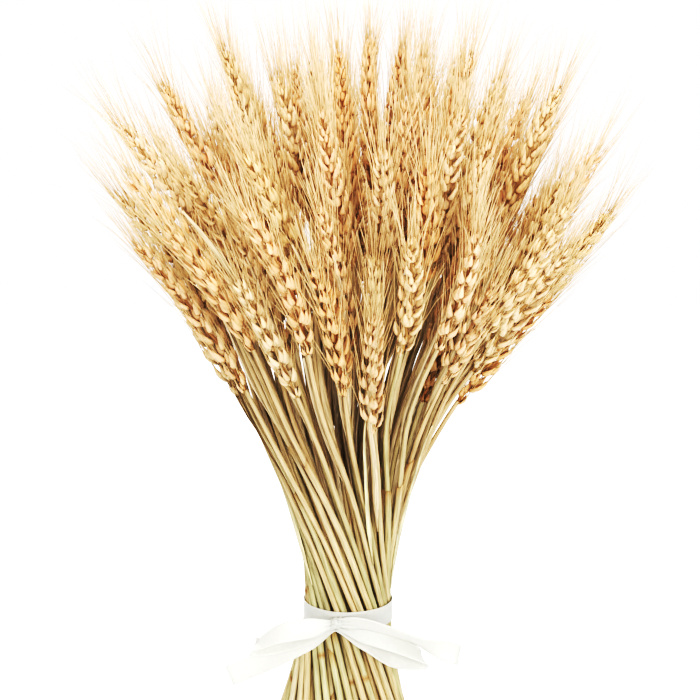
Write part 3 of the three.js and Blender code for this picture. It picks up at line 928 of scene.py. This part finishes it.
def catmull_rom(points, shares):
    """A smooth curve through points, whose run between two of them follows the square root of
    their distance, at shares of its whole run."""
    points = np.array(points, float)
    padded = np.vstack([2 * points[0] - points[1], points, 2 * points[-1] - points[-2]])
    at = np.asarray(shares) * (len(points) - 1)
    leg = np.minimum(at.astype(int), len(points) - 2)
    t = (at - leg)[:, None]
    p = [padded[leg + k] for k in range(4)]
    d = [np.sqrt(np.linalg.norm(p[k + 1] - p[k], axis=1, keepdims=True)) for k in range(3)]
    d[1] = np.where(d[1] < SAME_POINT, 1, d[1])
    d[0], d[2] = (np.where(gap < SAME_POINT, d[1], gap) for gap in (d[0], d[2]))
    leave = (p[1] - p[0]) / d[0] - (p[2] - p[0]) / (d[0] + d[1]) + (p[2] - p[1]) / d[1]
    reach = (p[2] - p[1]) / d[1] - (p[3] - p[1]) / (d[1] + d[2]) + (p[3] - p[2]) / d[2]
    leave, reach = leave * d[1], reach * d[1]
    square = -3 * p[1] + 3 * p[2] - 2 * leave - reach
    cube = 2 * p[1] - 2 * p[2] + leave + reach
    return p[1] + leave * t + square * t ** 2 + cube * t ** 3


def ribbon_lift(w, length, gathered, loose, phase):
    """How far a strip rises off its route, along its length and from edge to edge."""
    pleats = PLEAT * gathered * np.sin(PLEAT_TURN * w + phase)
    curls = CURL * loose * (w ** 2 - CURL_SINK) * np.sin(length / CURL_RUN + phase)
    ripples = RIPPLE * loose * w * np.sin(length / RIPPLE_RUN + 2 * phase)
    return pleats + curls + ripples


def add_strip(surface, points, across, half_widths, gathered, phase, closed=False):
    """A strip of ribbon along points. It is pleated where it is gathered."""
    ahead = np.roll(points, -1, 0) - np.roll(points, 1, 0) if closed else np.gradient(points, axis=0)
    along = unit(ahead)
    across = unit(across - along * dot(across, along))
    out = np.cross(across, along)
    length = np.cumsum(np.linalg.norm(np.diff(points, axis=0, prepend=points[:1]), axis=1))[:, None]
    w = np.linspace(-1, 1, RIBBON_STRANDS)
    wide = w * half_widths[:, None]
    loose = (1 - gathered) * (not closed)
    lift = ribbon_lift(w, length, gathered[:, None], loose[:, None], phase)
    thickness = np.full(RIBBON_STRANDS, RIBBON_THICKNESS)
    thickness[[0, -1]] *= SELVEDGE
    middle = points[:, None] + across[:, None] * wide[..., None] + out[:, None] * lift[..., None]
    grain = np.stack([wide, lift * 0, np.broadcast_to(length, lift.shape)], axis=-1)
    add_skins(surface, middle, out[:, None], thickness, linear(SATIN_WHITE), grain, SATIN, closed)


def add_bow_strip(surface, route, across, steps, phase):
    shares = np.linspace(0, 1, steps * RIBBON_DETAIL + 1)
    points = catmull_rom(route, shares)
    opened = smoothstep(np.abs(points[:, 0]), 0, PINCH_REACH)
    half_widths = RIBBON_WIDTH / 2 * between((PINCH, 1), opened)
    add_strip(surface, points + KNOT, catmull_rom(across, shares), half_widths, 1 - opened, phase)


def sheaf_radius(height):
    """How far the outermost stems stand from the axis at a height."""
    twist = TWIST * (height - WAIST_HEIGHT)
    return RINGS * STEM_PITCH * np.hypot(1, twist) + SHEATH_RADIUS


def add_band(surface):
    """The turn round the stems. It is gathered at the knot, and its front is drawn down."""
    knot_angle = math.atan2(KNOT[1], KNOT[0])
    turn = circle(BAND_STEPS)
    near = 1 - smoothstep(np.minimum(turn, 2 * math.pi - turn), 0, KNOT_ARC)
    angle = knot_angle + turn
    height = BAND_DIP * np.sin(angle) + KNOT_RISE * near
    radius = sheaf_radius(height) + BAND_GAP + KNOT_STAND * near
    points = np.stack([np.cos(angle) * radius, np.sin(angle) * radius, TIE_HEIGHT + height], axis=-1)
    up = np.broadcast_to([0.0, 0.0, 1.0], points.shape)
    half_widths = RIBBON_WIDTH / 2 * between((1, KNOT_WIDTH), near)
    add_strip(surface, points, up, half_widths, near, BAND_PHASE, closed=True)


def add_knot(surface):
    """The wrap of ribbon that holds the bow."""
    angle = np.linspace(-math.pi, math.pi, KNOT_STEPS)
    deep, high = KNOT_RADII
    ring = np.stack([KNOT_SLANT * np.sin(angle), np.cos(angle) * deep, np.sin(angle) * high], axis=-1)
    across = np.broadcast_to([1.0, 0.0, 0.0], ring.shape)
    half_widths = KNOT_HALF * (1 - KNOT_WAIST * np.cos(angle) ** 2)
    gathered = np.full(KNOT_STEPS, KNOT_PLEATS)
    add_strip(surface, ring + KNOT, across, half_widths, gathered, KNOT_PHASE)


# Materials

def new_material(name):
    material = bpy.data.materials.new(name)
    material.use_nodes = True
    return material, material.node_tree, material.node_tree.nodes["Principled BSDF"]


def set_inputs(tree, node, inputs):
    """Sets the inputs of a node to values, or links them to sockets."""
    for name, value in inputs.items():
        socket = node.inputs[name]
        if isinstance(value, bpy.types.NodeSocket):
            tree.links.new(value, socket)
        else:
            socket.default_value = value


def add_node(tree, kind, inputs=None, **settings):
    node = tree.nodes.new("ShaderNode" + kind)
    for name, value in settings.items():
        setattr(node, name, value)
    set_inputs(tree, node, inputs or {})
    return node


def add_attributes(tree):
    """The tint and the grain that each point of a surface has."""
    tint = add_node(tree, "Attribute", attribute_name="tint")
    grain = add_node(tree, "Attribute", attribute_name="grain")
    return tint.outputs["Color"], grain.outputs["Vector"]


def add_noise(tree, place, scale, detail):
    noise = add_node(tree, "TexNoise", {"Vector": place, "Scale": scale, "Detail": detail})
    return noise.outputs["Fac"]


def add_range(tree, value, ends, targets):
    """A value that runs between two targets where the one given runs between two ends."""
    ranged = add_node(tree, "MapRange", {
        "Value": value, "From Min": ends[0], "From Max": ends[1],
        "To Min": targets[0], "To Max": targets[1],
    })
    return ranged.outputs["Result"]


def add_shade(tree, colour, shade):
    shaded = add_node(tree, "VectorMath", {0: colour, "Scale": shade}, operation="SCALE")
    return shaded.outputs["Vector"]


def add_relief(tree, height, strength, depth):
    relief = {"Height": height, "Strength": strength, "Distance": depth * MM}
    return add_node(tree, "Bump", relief).outputs["Normal"]


def fibre_material(name, roughness, fibres, contrast, bump, coat=0.0, glow=0.0):
    """Dry plant fibre: its tint, streaked along the grain, over fine ribs."""
    material, tree, shader = new_material(name)
    tint, grain = add_attributes(tree)
    streaks = add_noise(tree, grain, fibres, 3.0)
    patches = add_noise(tree, grain, 0.35, 2.0)
    ribs = add_noise(tree, grain, fibres * 2.2, 1.0)
    shade = add_range(tree, streaks, (0.3, 0.7), (1 - contrast, 1 + contrast * 0.4))
    warm = add_range(tree, patches, (0.52, 0.72), (0, 0.5))
    spotted = add_node(tree, "Mix", {
        "Factor": warm, "A": tint, "B": (*linear(PATCH_TAN), 1),
    }, data_type="RGBA")
    set_inputs(tree, shader, {
        "Base Color": add_shade(tree, spotted.outputs["Result"], shade),
        "Roughness": add_range(tree, streaks, (0, 1), (roughness - 0.08, roughness + 0.12)),
        "Normal": add_relief(tree, ribs, bump, 0.15),
        "Specular IOR Level": 0.25,
        "Coat Weight": coat,
        "Coat Roughness": 0.3,
        "Subsurface Weight": glow,
        "Subsurface Radius": (1.0, 0.8, 0.5),
        "Subsurface Scale": 1.5 * MM,
    })
    return material


def satin_material():
    """White satin: a fine slanted weave under a soft gloss."""
    material, tree, shader = new_material("white_satin")
    tint, grain = add_attributes(tree)
    slanted = add_node(tree, "Mapping", {"Vector": grain, "Rotation": (0, math.radians(30), 0)})
    weave = add_node(tree, "TexWave", {
        "Vector": slanted.outputs["Vector"], "Scale": 1.6, "Distortion": 0.6, "Detail": 1.0,
    })
    threads = add_noise(tree, grain, 0.5, 2.0)
    set_inputs(tree, shader, {
        "Base Color": add_shade(tree, tint, add_range(tree, threads, (0.3, 0.7), (0.93, 1))),
        "Normal": add_relief(tree, weave.outputs["Fac"], 0.25, 0.05),
        "Roughness": 0.36,
        "Sheen Weight": 0.2,
        "Subsurface Weight": 0.5,
        "Subsurface Radius": (1.0, 1.0, 0.9),
        "Subsurface Scale": 3 * MM,
    })
    return material


def build_stalks():
    materials = [
        fibre_material("dry_straw", 0.45, 2.3, 0.5, 0.6, coat=0.08),
        fibre_material("dry_husk", 0.5, 1.3, 0.16, 0.6, glow=0.3),
        fibre_material("dry_awn", 0.5, 0.8, 0.1, 0.2, glow=0.15),
    ]
    surfaces = {}
    for stalk in lay_out_stalks():
        rng = np.random.default_rng([SEED, stalk.number])
        surface = surfaces.setdefault(stalk.node, Surface())
        add_stem(surface, stalk, rng)
        for _ in range(INNER_BLADES if stalk.inner else 1):
            if rng.random() < BLADE_SHARE:
                add_leaf(surface, stalk, BLADE, rng)
        if not stalk.inner and rng.random() < STRIP_SHARE:
            add_leaf(surface, stalk, STRIP, rng)
        add_ear(surface, stalk, rng)
    for node, surface in surfaces.items():
        piece = surface.to_object(node.replace("stalks", "wheat").replace("stalk", "wheat"), materials)
        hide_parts(node)
        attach(piece, "root")


def build_ribbon():
    surface = Surface()
    add_band(surface)
    add_knot(surface)
    for index, (route, across, steps) in enumerate(BOW.values()):
        add_bow_strip(surface, route, across, steps, BOW_PHASE * index)
    ribbon = surface.to_object("satin_ribbon", [satin_material()])
    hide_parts("ribbon")
    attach(ribbon, "root")


def build_stage():
    bpy.ops.mesh.primitive_plane_add(size=4.4, location=(0, 0, -FLOOR_DROP))
    floor = bpy.context.object
    floor.name = "floor"
    material, tree, shader = new_material("white_floor")
    path = add_node(tree, "LightPath")
    set_inputs(tree, shader, {
        "Base Color": (0.55, 0.55, 0.55, 1),
        "Roughness": 0.8,
        "Emission Color": WHITE,
        "Emission Strength": add_range(tree, path.outputs["Is Camera Ray"], (0, 1), FLOOR_GLOW),
    })
    floor.data.materials.append(material)


def build_world():
    """A white backdrop, which lights the sheaf less brightly than it looks."""
    world = bpy.data.worlds.new("studio")
    world.use_nodes = True
    tree = world.node_tree
    backdrop = add_node(tree, "Background", {"Color": WHITE, "Strength": 1.0})
    room = add_node(tree, "Background", {"Color": WHITE, "Strength": ROOM_LIGHT})
    path = add_node(tree, "LightPath")
    either = add_node(tree, "MixShader", {
        "Fac": path.outputs["Is Camera Ray"], 1: room.outputs[0], 2: backdrop.outputs[0],
    })
    tree.links.new(either.outputs[0], tree.nodes["World Output"].inputs["Surface"])
    bpy.context.scene.world = world


def build_lamps():
    """Soft lamps that face the sheaf."""
    for name, (place, size, power) in LAMPS.items():
        light = bpy.data.lights.new(name, "AREA")
        light.size = size
        light.energy = power
        light.color = LAMP_COLOUR
        lamp = bpy.data.objects.new(name, light)
        lamp.location = place
        lamp.rotation_euler = (AIM * MM - Vector(place)).to_track_quat("-Z", "Y").to_euler()
        bpy.context.scene.collection.objects.link(lamp)


def set_tone():
    view = bpy.context.scene.view_settings
    view.view_transform = "Standard"
    view.gamma = 0.78
    view.use_curve_mapping = True
    all_colours = view.curve_mapping.curves[3]
    for x, y in TONE:
        all_colours.points.new(x, y)
    view.curve_mapping.update()


def build_camera():
    camera = bpy.data.cameras.new("camera")
    camera.sensor_width = 36
    camera.lens = camera.sensor_width / (2 * HALF_VIEW)
    camera.clip_end = 20
    holder = bpy.data.objects.new("camera", camera)
    elevation = math.radians(CAMERA_ELEVATION)
    away = Vector((0, -math.cos(elevation), math.sin(elevation)))
    aim = AIM - Vector(CENTRE)
    holder.location = (aim + away * CAMERA_DISTANCE) * MM
    holder.rotation_euler = away.to_track_quat("Z", "Y").to_euler()
    bpy.context.scene.collection.objects.link(holder)
    bpy.context.scene.camera = holder


build_stalks()
build_ribbon()
build_stage()
build_world()
build_lamps()
set_tone()
build_camera()
